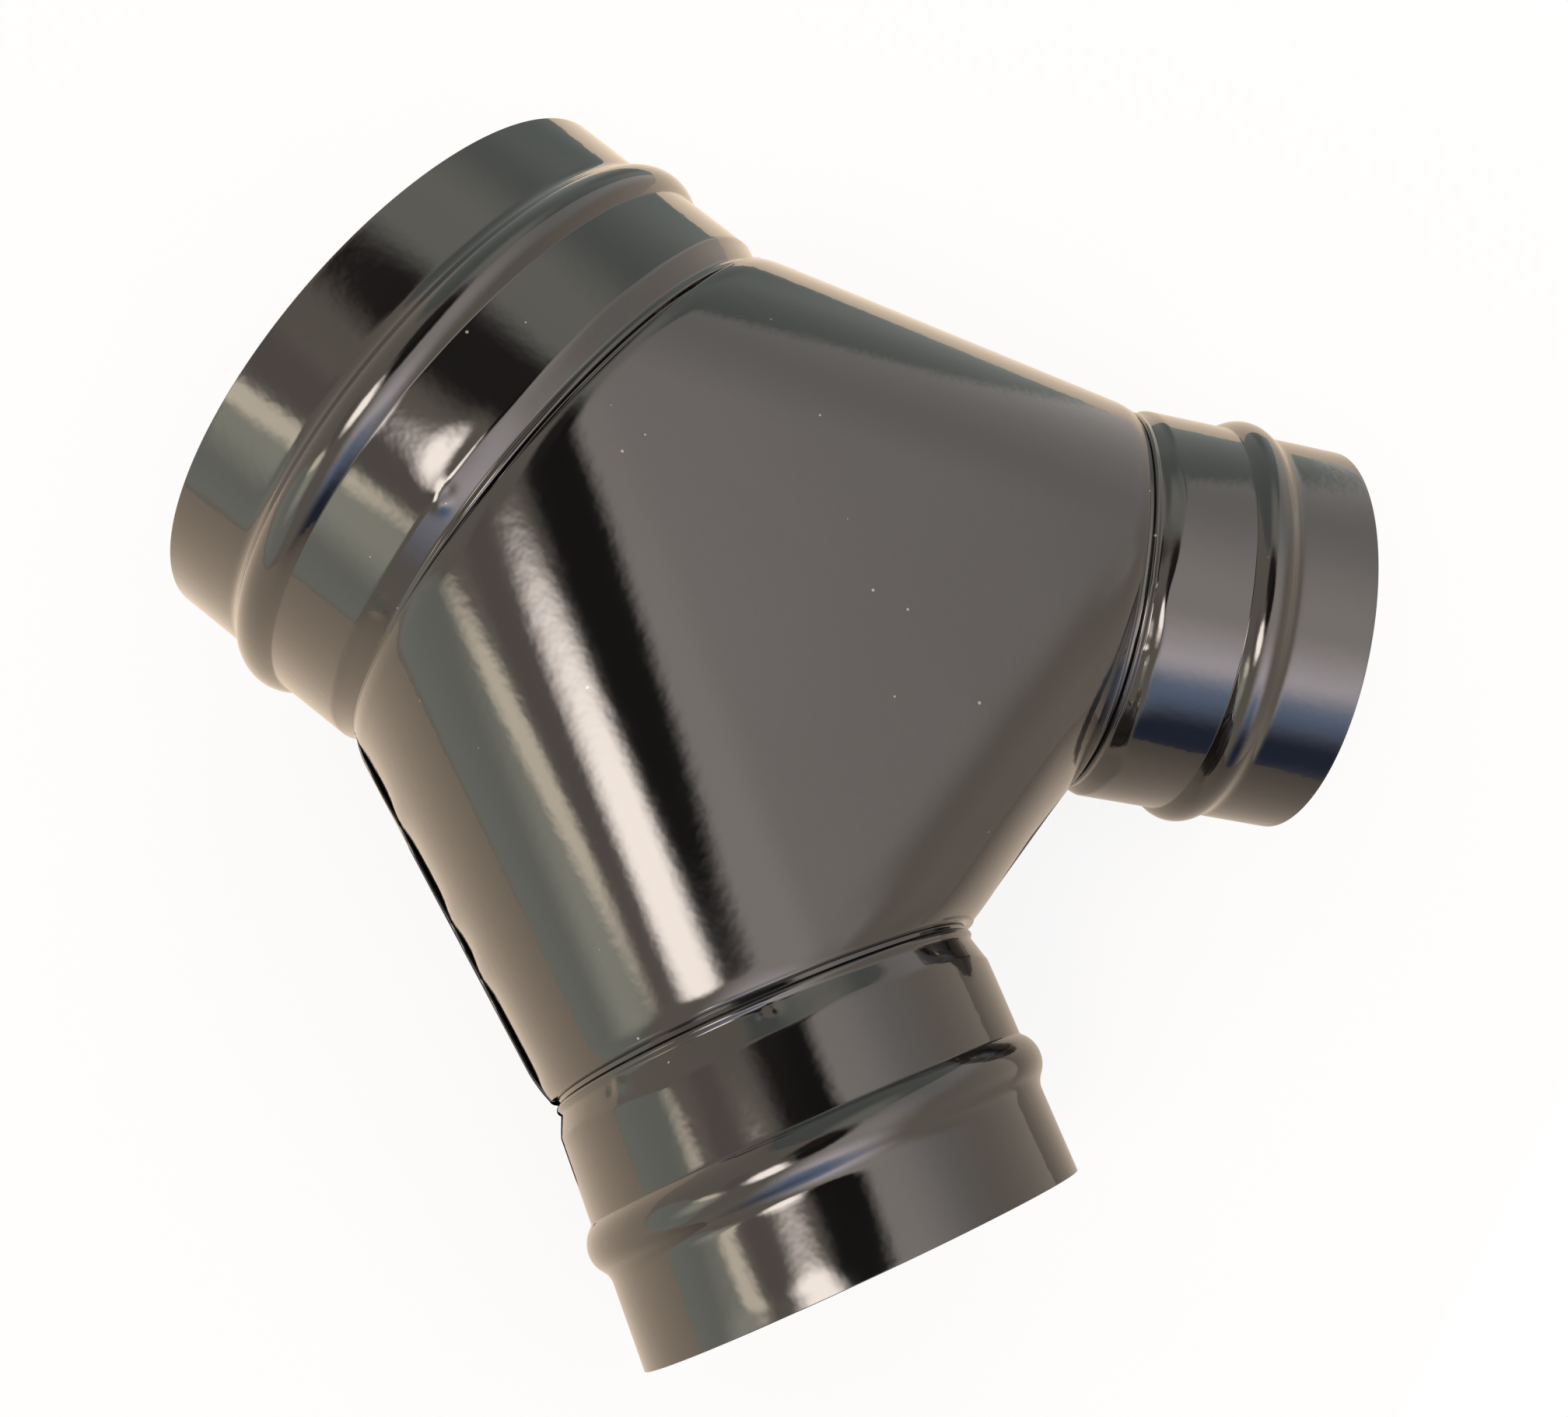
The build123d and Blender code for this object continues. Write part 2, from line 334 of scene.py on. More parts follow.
def worked(name, stations, radii, angles):
    """Stations and radii of a collar's grid as the workshop left them."""
    stations = stations[:, None] + 0 * angles
    radii = radii[:, None] + 0 * angles
    from_body = np.clip((stations - waves_start) / (waves_full - waves_start), 0, 1)
    free = from_body * np.clip((collar_length - stations) / rim_hold, rim_share, 1)
    shift = sum(size * np.sin(lobes * angles + phase) for lobes, phase, size in crease_wander[name])
    near_crease = bell((stations - crease_place) / crease_reach)
    near_crease = near_crease * np.clip(stations - grip_end, 0, 1)
    lift = sum(
        height * np.sin(lobes * angles + phase) * np.cos(2 * pi * stations / length + other_phase)
        for lobes, length, phase, other_phase, height in collar_waves[name]
    ) * free
    for station, angle, along, around, height in pinches[name]:
        gap = (angles - radians(angle) + pi) % (2 * pi) - pi
        lift = lift + height * bell((stations - station) / along) * bell(gap * radii / around)
    return stations + shift * near_crease, radii + lift


print(sum(len(marks) for marks in pinches.values()), "pinches on three collars")

# %% Turning a section into a collar
collar_steps = 480  # columns around a collar


def turned(name, section, joint, axis):
    """A grid of points: the section turned about an axis that starts in a joint."""
    front = np.array([0.0, 0.0, 1.0])
    beside = np.cross(front, axis)
    angles = np.arange(collar_steps) * 2 * pi / collar_steps
    outward = np.cos(angles)[:, None] * beside + np.sin(angles)[:, None] * front
    stations, radii = worked(name, section[:, 0], section[:, 1], angles)
    return joint + stations[..., None] * axis + radii[..., None] * outward


collars = {}
joints = {
    "inlet_collar": (np.zeros(3), np.array([1.0, 0.0, 0.0])),
    "outlet_collar_left": (outlet_joint * (1, -1, 1), outlet_axis * (1, -1, 1)),
    "outlet_collar_right": (outlet_joint, outlet_axis),
}
for name, (joint, axis) in joints.items():
    mouth = name.split("_")[0]
    grid = turned(name, sections[mouth], joint, axis)
    collars[name] = sheet_piece("painted_" + name, [(grid, True)])
    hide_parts(name)
    print(name, len(collars[name].data.vertices), "points")

# %% [markdown]
# ## The body's skin
#
# The pressed body is what you get by stretching a skin over three hoops: the mouths. In front and
# behind it lies flat against all three, at the sides it is round, and between the outlets it dips
# into the crotch. Two crossing cones joined by a boolean would leave a sharp valley there and no
# flat. Straight lines run from hoop to hoop on the real skin, so it is built from those lines.
#
# `around` says which line: 0 is the side seam, 1 the line where the skin leaves the hoops and
# turns flat, 2 the middle of the flat front. `along` runs from the inlet to the outlets. `depth` is
# how far below the outer surface a point is; all three hoops shrink by it.

# %% Points of the skin
body_length = -outlet_joint[0]
mouth_bow = 3.0  # the inlet edge reaches this much further out at the side seams


def touching_slope(run, large, small):
    """Slope of the flat front, which rests on all three hoops."""
    lean = small * sin(branch_angle)
    reach = run**2 - lean**2
    return (run * large - sqrt(run**2 * large**2 - reach * (large**2 - small**2))) / reach


front_slope = touching_slope(body_length + mouth_bow, inlet_neck, outlet_neck)
leaves_flat = pi / 2 + atan(front_slope * sin(branch_angle))  # angle where the skin leaves an outlet


def inlet_hoop(angle, depth):
    """Points of the inlet's hoop, at angles from the side seam."""
    radius = inlet_neck - depth
    return np.stack([mouth_bow + 0 * angle, radius * np.cos(angle), radius * np.sin(angle)], axis=-1)


def outlet_hoop(angle, depth):
    """Points of the +y outlet's hoop, at angles from the side seam; pi is in the crotch."""
    radius = outlet_neck - depth
    beside = radius * np.cos(angle)
    return np.stack(
        [
            outlet_joint[0] + beside * sin(branch_angle),
            outlet_joint[1] + beside * cos(branch_angle),
            radius * np.sin(angle),
        ],
        axis=-1,
    )


def side_point(around, along, depth):
    """Side and front of the skin on the +y half."""
    curve = np.clip(around, 0, 1)
    start = inlet_hoop(curve * pi / 2, depth)
    end = outlet_hoop(curve * leaves_flat, depth)
    middle = end * (1, 0, 1)
    flat = np.clip(around - 1, 0, 1)[..., None]
    end = end + (middle - end) * flat
    return start + (end - start) * along[..., None]


def crotch_point(around, along, depth):
    """The crotch on the +y half: from the outlet's hoop straight across to the middle."""
    start = outlet_hoop(pi + (leaves_flat - pi) * around, depth)
    return start + (start * (1, 0, 1) - start) * along[..., None]


print("the front slopes by", round(degrees(atan(front_slope)), 2), "degrees")

# %% [markdown]
# ## Edges of the mouths
#
# Where the body takes a collar, its edge is rolled over: the skin sinks a little in the last few
# millimetres, turns down sharply and ends on the collar. That roll is what draws the soft strip
# beside each joint. A Bevel modifier would round the edge, but not sink the skin behind it, so the
# sinking is worked out as a depth for each point. Two more depths are added to it: the slow waves
# that a press leaves in flat sheet, and a spreading of the bend between the flat and the crotch,
# which real sheet never takes as one crisp line.

# %% How the skin sinks beside a mouth
edge_bend = 0.8  # radius of the turned-down edge
roll_reach, roll_drop = 3.4, 0.42
draw_reach, draw_drop = 22.0, 0.3  # at the inlet the skin starts to draw in much earlier


def inlet_edge(height):
    """Station of the bowed inlet edge at a height above or below the mid-plane."""
    bow_radius = (inlet_neck**2 + mouth_bow**2) / (2 * mouth_bow)
    return mouth_bow - bow_radius + np.sqrt(bow_radius**2 - height**2)


def from_inlet(points):
    """How far inside the inlet's edge each point is."""
    return inlet_edge(points[..., 2]) - points[..., 0]


def mouth_distance(points):
    """How far inside the nearest mouth's edge each point is."""
    mirrored = np.stack([points[..., 0], np.abs(points[..., 1]), points[..., 2]], axis=-1)
    from_outlet = (outlet_joint - mirrored) @ outlet_axis
    return np.minimum(from_inlet(points), from_outlet)


def sink(points):
    """The roll beside every mouth, and the longer draw beside the inlet."""
    share = np.clip(1 - (mouth_distance(points) - edge_bend) / roll_reach, 0, 1)
    drawn = np.clip(1 - from_inlet(points) / draw_reach, 0, 1)
    height = np.clip(points[..., 2] / inlet_neck, 0, 1)
    return roll_drop * share**2 + draw_drop * drawn**2 * height * (1 - height**8)


# %% Waves in the flat, and the soft bend into the crotch
# height in mm, radians per mm along x, y and z, phase
pressing_waves = (
    (0.13, (1 / 17, 1 / 29, 0), 0.7),
    (0.07, (-1 / 23, 1 / 11, 0), 2.0),
    (0.02, (1 / 7.5, 0, 1 / 9), 1.0),
)
wave_start, wave_rise = 5.0, 22.0  # distance from the mouths, and how slowly the waves set in
crest_radius = 12.45  # the crotch's own, where it leaves the flat
blend_reach = 8.0  # the bend is spread this far to either side
blend_rise = 14.0  # from the mouths


def slack(points):
    """Slow waves that pressing left in the flat, zero at the mouths and at the sides."""
    waves = sum(height * np.sin(points @ np.array(rates) + phase)
                for height, rates, phase in pressing_waves)
    flat = np.clip(points[..., 2] / (inlet_neck + front_slope * points[..., 0]), 0, 1) ** 6
    return waves * flat * np.clip((mouth_distance(points) - wave_start) / wave_rise, 0, 1)


def soften(points):
    """Depth that spreads the bend between the flat and the crotch, away from the mouths.

    The bend is spread evenly from one reach before the crest to one reach beyond it, so the depth
    grows by the cube of the way. Past the crest, what the crotch's own bend gives is taken off.
    """
    crest = outlet_hoop(np.array(leaves_flat), 0.0)
    away = np.hypot(points[..., 0] - crest[0], points[..., 2] - crest[2])
    beyond = np.where(points[..., 0] < crest[0], away, -away)
    inside = np.clip(beyond + blend_reach, 0, 2 * blend_reach) ** 3 / (6 * blend_reach)
    spread = inside - np.clip(beyond, 0, blend_reach) ** 2
    free = np.clip(mouth_distance(points) / blend_rise, 0, 1)
    return spread / (2 * crest_radius) * free * free * (3 - 2 * free)


def rolled(point_at, around, along):
    """Points of the outer surface, sunk towards the mouths."""
    plain = point_at(around, along, 0.0)
    return point_at(around, along, sink(plain) + slack(plain) + soften(plain))


at_crest = side_point(np.array(2.0), np.array(1.0), 0.0)
print("the bend into the crotch is cut down by", soften(at_crest).round(2), "mm at its crest")

# %% [markdown]
# ## Where the rows of the body go
#
# A reflection in gloss paint shows every facet, so the grid is fine, and finest where the skin
# bends: at the mouths. An even grid as fine as that everywhere would cost several times the faces.
# The rows along the body are set by their distance from each end.

# %% Rows and columns of the body
fine_rows = np.array([0, 0.25, 0.5, 0.8, 1.2, 1.7, 2.3, 3.0, 3.8, 4.7, 5.7, 7.0, 9.0])
coarse_row = 2.5  # millimetres between rows, between the mouths and towards the middle of the crotch
crotch_row = 1.2


def row_distances(length, both_ends=True):
    """Distances from 0 to a length, close together at one end or at both."""
    last = length - fine_rows[::-1] if both_ends else np.array([length])
    gap = last[0] - fine_rows[-1]
    step = coarse_row if both_ends else crotch_row
    between = np.linspace(fine_rows[-1], last[0], max(3, int(gap / step) + 1))[1:-1]
    return np.concatenate([fine_rows, between, last])


side_columns = np.linspace(0, 1, 91)
crotch_columns = 1 - np.linspace(1, 0, 71) ** 1.6  # closer together towards the crest

def cut_at_inlet(around):
    """The share along each side line at which it meets the inlet's edge, less the edge's bend."""
    share = np.zeros_like(around)
    run = side_point(around, share, 0.0)[..., 0] - side_point(around, share + 1, 0.0)[..., 0]
    for _ in range(4):
        start = side_point(around, share, 0.0)
        share = share + (start[..., 0] - inlet_edge(start[..., 2]) + edge_bend) / run
    return share


def cut_at_outlet(around):
    """The share along each side line at which it ends, at the outlet's edge less its bend."""
    end = side_point(around, np.ones_like(around), 0.0)
    line = end - side_point(around, np.zeros_like(around), 0.0)
    inside = (outlet_joint - end) @ outlet_axis
    return 1 - np.clip(edge_bend - inside, 0, None) / (line @ outlet_axis)


print(len(row_distances(body_length)), "rows along the body")

# %% [markdown]
# ## The half shells
#
# Front and rear shells are pressings of the same form. Each is one grid for the side, one for the
# flat and one for the crotch, mirrored to the other branch, with a lip at each mouth. The lip is
# the turned-down edge: a quarter bend, then flat towards the collar.
#
# Modelling one quarter and mirroring it is less work than drawing both shells, and nothing can
# drift apart between them.

# %% The lip at a mouth
lip_clear = 0.12  # from the collar to the lip's end
lip_end = {"inlet": inlet_seat + ridge_height + lip_clear, "outlet": outlet_seat + lip_clear}


def lip(edge, outward, centre, axis, inner_radius):
    """Rows that turn down from an edge, then run in to a radius about the mouth's axis."""
    from_centre = edge - centre
    along = (from_centre @ axis)[:, None] * axis
    radial = from_centre - along
    radius = np.linalg.norm(radial, axis=-1, keepdims=True)
    inward = -radial / radius
    rows = [edge]
    for angle in np.linspace(0, pi / 2, 7)[1:]:
        rows.append(edge + edge_bend * (sin(angle) * outward + (1 - cos(angle)) * inward))
    run = radius - edge_bend - inner_radius
    last = rows[-1]
    rows.append(last + inward * run / 2)
    rows.append(last + inward * run)
    return np.array(rows)


print("the lips end at radii", {mouth: round(radius, 2) for mouth, radius in lip_end.items()})

# %% The grids of one quarter
seam_gap = 0.9  # between the halves' edges


def evenly_round(columns, share):
    """Where each column stands on the section at a share of the length, evenly along its outline.

    'columns' are the places on the last section. The flat is a triangle with its tip at the inlet,
    so columns that kept their places would crowd together there.
    """
    dense = np.concatenate([np.linspace(columns[0], 1, 300), np.linspace(1, 2, 201)[1:]])

    def outline_shares(around, at_share):
        first = cut_at_inlet(around)
        last = cut_at_outlet(around)
        points = side_point(around, first + (last - first) * at_share, 0.0)
        steps = np.linalg.norm(np.diff(points, axis=0), axis=-1)
        walked = np.concatenate([[0], np.cumsum(steps)])
        return walked / walked[-1]

    wanted = outline_shares(columns, 1.0)
    return np.interp(wanted, outline_shares(dense, share), dense)


def crotch_grid(seam_height):
    """The crotch down to a height above the mid-plane, and the places of its rows on the crest."""
    lowest = asin(seam_height / outlet_neck) / (pi - leaves_flat)
    columns = np.concatenate([[lowest], crotch_columns[1:]])
    to_middle = crotch_point(columns, np.zeros_like(columns), 0.0)[:, 1]
    first = edge_bend / (to_middle * sin(branch_angle))
    reach = outlet_joint[1] / 2
    shares = row_distances(reach, both_ends=False) / reach
    along = first + (1 - first) * shares[:, None]
    around = np.broadcast_to(columns, along.shape).copy()
    crotch = rolled(crotch_point, around, along)
    crotch[:, 0, 2] = seam_height
    crotch[-1, :, 1] = 0.0
    return crotch, along[:, -1]


def side_grid(seam_height, crest_places):
    """The side and the flat. Its last row meets the crotch in the places of the crotch's rows."""
    lowest = asin(seam_height / inlet_neck) / (pi / 2)
    columns = np.concatenate([[lowest], side_columns[1:], 1 + crest_places])
    shares = row_distances(body_length) / body_length
    around = np.array([evenly_round(columns, share) for share in shares[:-1]] + [columns])
    first = cut_at_inlet(around)
    last = cut_at_outlet(around)
    along = first + (last - first) * shares[:, None]
    side = rolled(side_point, around, along)
    side[:, 0, 2] = seam_height
    side[:, -1, 1] = 0.0
    return side


def quarter_grids(seam_height):
    """Grids of the front half, on the +y side, down to a height above the mid-plane."""
    crotch, crest_places = crotch_grid(seam_height)
    side = side_grid(seam_height, crest_places)
    ahead = np.array([1.0, 0.0, 0.0])
    inlet_lip = lip(side[0], ahead, np.zeros(3), ahead, lip_end["inlet"])
    round_mouth = side[-1, : len(side_columns) + 1]
    outlet_lip, crotch_lip = [
        lip(edge, outlet_axis, outlet_joint, outlet_axis, lip_end["outlet"])
        for edge in (round_mouth, crotch[0])
    ]
    return {"side": side, "crotch": crotch, "inlet_lip": inlet_lip, "outlet_lip": outlet_lip,
            "crotch_lip": crotch_lip}


quarter = quarter_grids(seam_gap / 2)
for word, points in quarter.items():
    print(word, "grid", points.shape[:2])

# %% [markdown]
# ## The side seam
#
# The halves don't meet edge to edge. At the sides the rear half's edge stays back from the front
# one by about two millimetres, except where the two are tacked together, and a tongue on the rear
# half reaches up behind the slit. From above, the slit is the black line along the duct's side.
#
# A dark line painted on the side would vanish in the gloss. The slit is therefore real: the edge
# columns of the two side grids are moved, more in the slits and hardly at the tacks. The front
# half's edge sinks between its tacks, and the rear half's bows out a little below the slit.

# %% How the two edges stand apart
slit_depth = 2.2
tacks = (0.0, 0.245, 0.52, 0.67, 1.0)  # shares of the seam's length
tack_reach = (0.07, 0.045, 0.04, 0.04, 0.05)
near_inlet, near_outlet = 0.06, 0.05  # the last shares of the seam, where the mouths hold it
edge_in, edge_out = 0.34, 0.26  # of the front half's edge, in the slits and at the tacks
edge_reach = 9.0
pull_reach = 18.0  # how far down the rear half follows its edge
bow_out, bow_from, bow_reach, bow_end = 0.7, 12.0, 16.0, 0.09  # of the rear half's side


def tacked(share, places=slice(None)):
    """About 1 at each tack, falling to 0 beside it."""
    pairs = zip(tacks[places], tack_reach[places])
    return sum(bell((share - tack) / reach) for tack, reach in pairs)


def slit(share):
    """How far the rear half's edge stays back, along the seam."""
    return slit_depth * np.clip(1 - tacked(share), 0, 1)


def seam_share(side):
    """The place of each row of a side grid along the seam, from 0 to 1."""
    return (side[:, :1, 0] - side[0, 0, 0]) / (side[-1, 0, 0] - side[0, 0, 0])


def wavy(side):
    """The front half's side grid: its edge sinks along the slits and stands out at the tacks."""
    side = side.copy()
    share = seam_share(side)
    ends = np.clip(share / near_inlet, 0, 1) * np.clip((1 - share) / near_outlet, 0, 1)
    waves = edge_out * tacked(share, slice(1, -1)) - edge_in * slit(share) / slit_depth
    side[..., 1] += waves * ends * bell(side[..., 2] / edge_reach)
    return side


def set_back(side):
    """The rear half's side grid: its edge moved back by the slit, and bowed out."""
    side = side.copy()
    share = seam_share(side)
    ends = np.clip(share / near_inlet, 0, 1) * np.clip((1 - share) / bow_end, 0, 1)
    height = side[..., 2]
    pulled = slit(share) * np.clip(1 - height / pull_reach, 0, 1)
    side[..., 1] -= ((height + pulled) ** 2 - height**2) / (2 * inlet_neck)
    side[..., 2] += pulled
    bow = bow_out * ends * ends * (3 - 2 * ends)
    side[..., 1] += bow * bell(np.clip(height - bow_from, 0, None) / bow_reach)
    return side


print("the slit opens to", slit(np.linspace(0, 1, 101)).max().round(2), "mm")

# %% The tongue behind the slit
tongue_depth = 2.4  # below the outer surface
# height above or below the mid-plane, and depth there
tongue_shape = ((12.0, 0.9), (10.0, 1.3), (8.2, 2.2), (7.0, tongue_depth), (3.5, tongue_depth),
                (0.0, tongue_depth), (-3.0, tongue_depth), (-7.0, tongue_depth), (-8.5, 2.1),
                (-10.5, 0.8), (-12.0, 0.3))
seam_clear = collar_lap + 1.5  # from a mouth's edge to the tongue


def tongue_grid(point_at, height_to_around, along):
    """Rows of the tongue: heights above or below the mid-plane, at depths below the skin."""
    columns = []
    for height, depth in tongue_shape:
        around = np.full_like(along, abs(height)) / height_to_around(along)
        points = point_at(around, along, depth)
        points[..., 2] *= 1 if height >= 0 else -1
        columns.append(points)
    return np.stack(columns, axis=1)


def side_height(along):
    """Height per unit of 'around' near the side seam."""
    return inlet_neck * pi / 2 * (1 - along) + outlet_neck * leaves_flat * along


def crotch_height(along):
    """Height per unit of 'around' near the seam in the crotch."""
    return outlet_neck * (pi - leaves_flat) + 0 * along


seam_length = np.linalg.norm(quarter["side"][-1, 0] - quarter["side"][0, 0])
clear_share = seam_clear / seam_length
side_rows = np.linspace(clear_share, 1 - 1.2 * clear_share, 60)  # the outlet's edge is slanted
crotch_rows = np.linspace(seam_clear / outlet_joint[1] / sin(branch_angle), 1, 24)
tongues = [tongue_grid(side_point, side_height, side_rows),
           tongue_grid(crotch_point, crotch_height, crotch_rows)]
print("the seam is", seam_length.round(1), "mm long on each side")

# %% [markdown]
# ## Two halves of sheet
#
# So far each grid is a surface without thickness. An inner surface could be modelled as well, but a
# Solidify modifier adds it for us. That keeps the grids simple, and both faces of the sheet follow
# every later change to the outer one. All of the thickness goes inwards, because the sizes that
# were measured are outside ones.

# %% The front and the rear shell
def mirrored(grids, flip):
    """The same grids reflected: flip is a sign for each axis."""
    return [(points * np.array(flip, dtype=float), False) for points in grids]


def solid_sheet(piece):
    """Gives a surface its thickness, all of it below the outer face."""
    solidify = piece.modifiers.new("sheet", "SOLIDIFY")
    solidify.thickness = sheet * mm
    solidify.offset = -1
    solidify.use_even_offset = True
    solidify.thickness_clamp = 0.5


shells = {}
for name, front in (("upper_shell", 1), ("lower_shell", -1)):
    side, *others = quarter.values()
    parts = [wavy(side), *others] if front == 1 else [set_back(side), *others, *tongues]
    grids = mirrored(parts, (1, 1, front)) + mirrored(parts, (1, -1, front))
    shells[name] = sheet_piece("painted_" + name, grids)
    solid_sheet(shells[name])
    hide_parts(name)
    print(name, len(shells[name].data.vertices), "points")

# %% [markdown]
# ## The paint
#
# The duct is sprayed with black stove paint and cured to a high gloss. Such a finish is two layers
# that both reflect: the pigmented coat, a little rough, and the clear resin skin on top, almost a
# mirror. The Principled shader has both, with its coat for the skin. The colour is nearly nothing;
# the resin's index of refraction sets how bright the room looks in it.
#
# Sprayed paint never levels out fully. It keeps an orange peel: ripples of about two millimetres
# that break the edges of bright reflections. They are far too shallow to be worth any faces, so they
# are bump, while the slower waves of the sheet below are in the meshes. A patchy haze changes the
# roughness a little, and dust specks lie over it all.

# %% Black gloss paint, smooth
black = (0.0045, 0.0042, 0.0042, 1)

paint = bpy.data.materials.new("black_gloss_paint")
paint.use_nodes = True
shader = paint.node_tree.nodes["Principled BSDF"]
# The first two are only where the paint starts from: dust and haze take them over below
for socket, value in {
    "Base Color": black,
    "Roughness": 0.08,
    "IOR": 1.6,
    "Coat Weight": 1.0,
    "Coat Roughness": 0.02,
    "Coat IOR": 1.6,
}.items():
    shader.inputs[socket].default_value = value
print("the resin's index of refraction is", round(shader.inputs["Coat IOR"].default_value, 2))

# %% Two helpers for nodes
def add_node(tree, kind, **settings):
    """A new node with its settings, and with values for the sockets that are named in 'values'."""
    values = settings.pop("values", {})
    node = tree.nodes.new(kind)
    for setting, value in settings.items():
        setattr(node, setting, value)
    for socket, value in values.items():
        node.inputs[socket].default_value = value
    return node


def join(tree, *pairs):
    """Links from outputs to inputs, in pairs."""
    for start, end in pairs:
        tree.links.new(start, end)


# %% Orange peel, haze and dust
dust_colour = (0.30, 0.28, 0.25, 1)

tree = paint.node_tree
place = add_node(tree, "ShaderNodeTexCoord")
peel = add_node(tree, "ShaderNodeTexNoise", values={"Scale": 420.0, "Detail": 1.0})
ripple = add_node(tree, "ShaderNodeBump", values={"Strength": 0.65, "Distance": 0.00003})
haze = add_node(tree, "ShaderNodeTexNoise", values={"Scale": 34.0, "Detail": 2.0})
gloss = add_node(tree, "ShaderNodeMapRange", values={
    "From Min": 0.3, "From Max": 0.7, "To Min": 0.065, "To Max": 0.11})
dust = add_node(tree, "ShaderNodeTexVoronoi", values={"Scale": 130.0})
grain = add_node(tree, "ShaderNodeSeparateColor")
speck_size = add_node(tree, "ShaderNodeMapRange", values={
    "From Min": 0.45, "From Max": 1.0, "To Min": 0.0, "To Max": 0.05})
speck = add_node(tree, "ShaderNodeMath", operation="LESS_THAN")
colour = add_node(tree, "ShaderNodeMix", data_type="RGBA", values={"A": black, "B": dust_colour})
join(
    tree,
    (place.outputs["Object"], peel.inputs["Vector"]),
    (peel.outputs["Fac"], ripple.inputs["Height"]),
    (ripple.outputs["Normal"], shader.inputs["Normal"]),
    (ripple.outputs["Normal"], shader.inputs["Coat Normal"]),
    (place.outputs["Object"], haze.inputs["Vector"]),
    (haze.outputs["Fac"], gloss.inputs["Value"]),
    (gloss.outputs["Result"], shader.inputs["Roughness"]),
    (place.outputs["Object"], dust.inputs["Vector"]),
    (dust.outputs["Color"], grain.inputs["Color"]),
    (grain.outputs["Red"], speck_size.inputs["Value"]),
    (dust.outputs["Distance"], speck.inputs[0]),
    (speck_size.outputs["Result"], speck.inputs[1]),
    (speck.outputs["Value"], colour.inputs["Factor"]),
    (colour.outputs["Result"], shader.inputs["Base Color"]),
)
print("black gloss paint with", len(tree.nodes), "nodes")

# %% Every piece is painted
painted = [*collars.values(), *shells.values()]
for piece in painted:
    piece.data.materials.append(paint)
    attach(piece, "root")
print(len(painted), "pieces wear the paint")

# %% [markdown]
# ## The camera
#
# The camera stands where the photograph was taken: above the front face, a little beyond the right
# outlet, and rolled. It could be turned towards an empty with a Track To constraint, but that leaves
# the roll open. So its place and two of its axes are written down, in the duct's own frame, because
# they were worked out from the joints and rims of the duct. The shift moves the picture inside the
# frame without turning the camera.

# %% Camera
from mathutils import Matrix, Vector

camera_spot = (-100.98, 158.66, 398.12)  # millimetres, in the duct's frame
camera_looks = (0.06704, -0.45808, -0.88638)
camera_up = (0.61233, -0.68251, 0.39903)

camera_data = bpy.data.cameras.new("camera")
camera_data.sensor_width = 36
camera_data.lens = 40.855
camera_data.shift_x = -0.0897
camera_data.shift_y = -0.0948
camera_data.clip_start = 0.01
camera = bpy.data.objects.new("camera", camera_data)
bpy.context.collection.objects.link(camera)
bpy.context.scene.camera = camera

looks = Vector(np.array(camera_looks) @ duct_axes).normalized()
picture_right = looks.cross(Vector(np.array(camera_up) @ duct_axes)).normalized()
picture_up = picture_right.cross(looks)
turned_to = Matrix((picture_right, picture_up, -looks)).transposed()
camera.matrix_world = Matrix.Translation(lay_down(camera_spot)) @ turned_to.to_4x4()
print("the camera is", round(camera.location.length * 1000), "mm from the origin")

# %% [markdown]
# ## The table top
#
# The duct lies on a pale, warm table top, with painted shade that darkens it towards the outlets.
# Its mirror image is the beige band along the duct's sides, while the photograph's ground is white.
# One plain material can't do both, so the Light Path node tells them apart. A ray from the camera
# meets nearly white, with a little of the lit table mixed in to keep the duct's shadow. A ray that
# comes from the paint meets beige: partly a surface that the room lights, and partly a glow that
# stays even in the shadow.

# %% Table top
table_edges = {"left": -0.22, "right": 0.58, "near": -0.42, "far": 0.52}  # metres
corners = [(table_edges[x], table_edges[y], float(cad_low[2]))
           for x, y in (("left", "near"), ("right", "near"), ("right", "far"), ("left", "far"))]
floor_data = bpy.data.meshes.new("floor")
floor_data.from_pydata(corners, [], [(0, 1, 2, 3)])
floor = bpy.data.objects.new("floor", floor_data)
bpy.context.collection.objects.link(floor)

table = bpy.data.materials.new("table_top")
table.use_nodes = True
tree = table.node_tree
tree.nodes.clear()
floor_data.materials.append(table)
print("the table top reaches", table_edges)

# %% The lit table, and its glow
white = (1, 1, 1, 1)
# The second colour of each pair is painted shade: the table darkens past the outlets as if in shade
lit_wood_with_painted_shade = (0.86, 0.73, 0.58, 1), (0.33, 0.29, 0.25, 1)  # at the inlet, and past the outlets
glowing_wood_with_painted_shade = (1.20, 1.02, 0.82, 1), (0.42, 0.37, 0.33, 1)
shade_from, shade_to = 0.06, -0.26  # metres along x
shadow_share = 0.13  # of the lit table, in what the camera sees
mirror_share = 0.4  # of the glow, in what the paint mirrors

ray = add_node(tree, "ShaderNodeLightPath")
spot = add_node(tree, "ShaderNodeNewGeometry")
along_x = add_node(tree, "ShaderNodeSeparateXYZ")
fade = add_node(tree, "ShaderNodeMapRange", interpolation_type="SMOOTHSTEP", values={
    "From Min": shade_from, "From Max": shade_to})
join(
    tree,
    (spot.outputs["Position"], along_x.inputs["Vector"]),
    (along_x.outputs["X"], fade.inputs["Value"]),
)


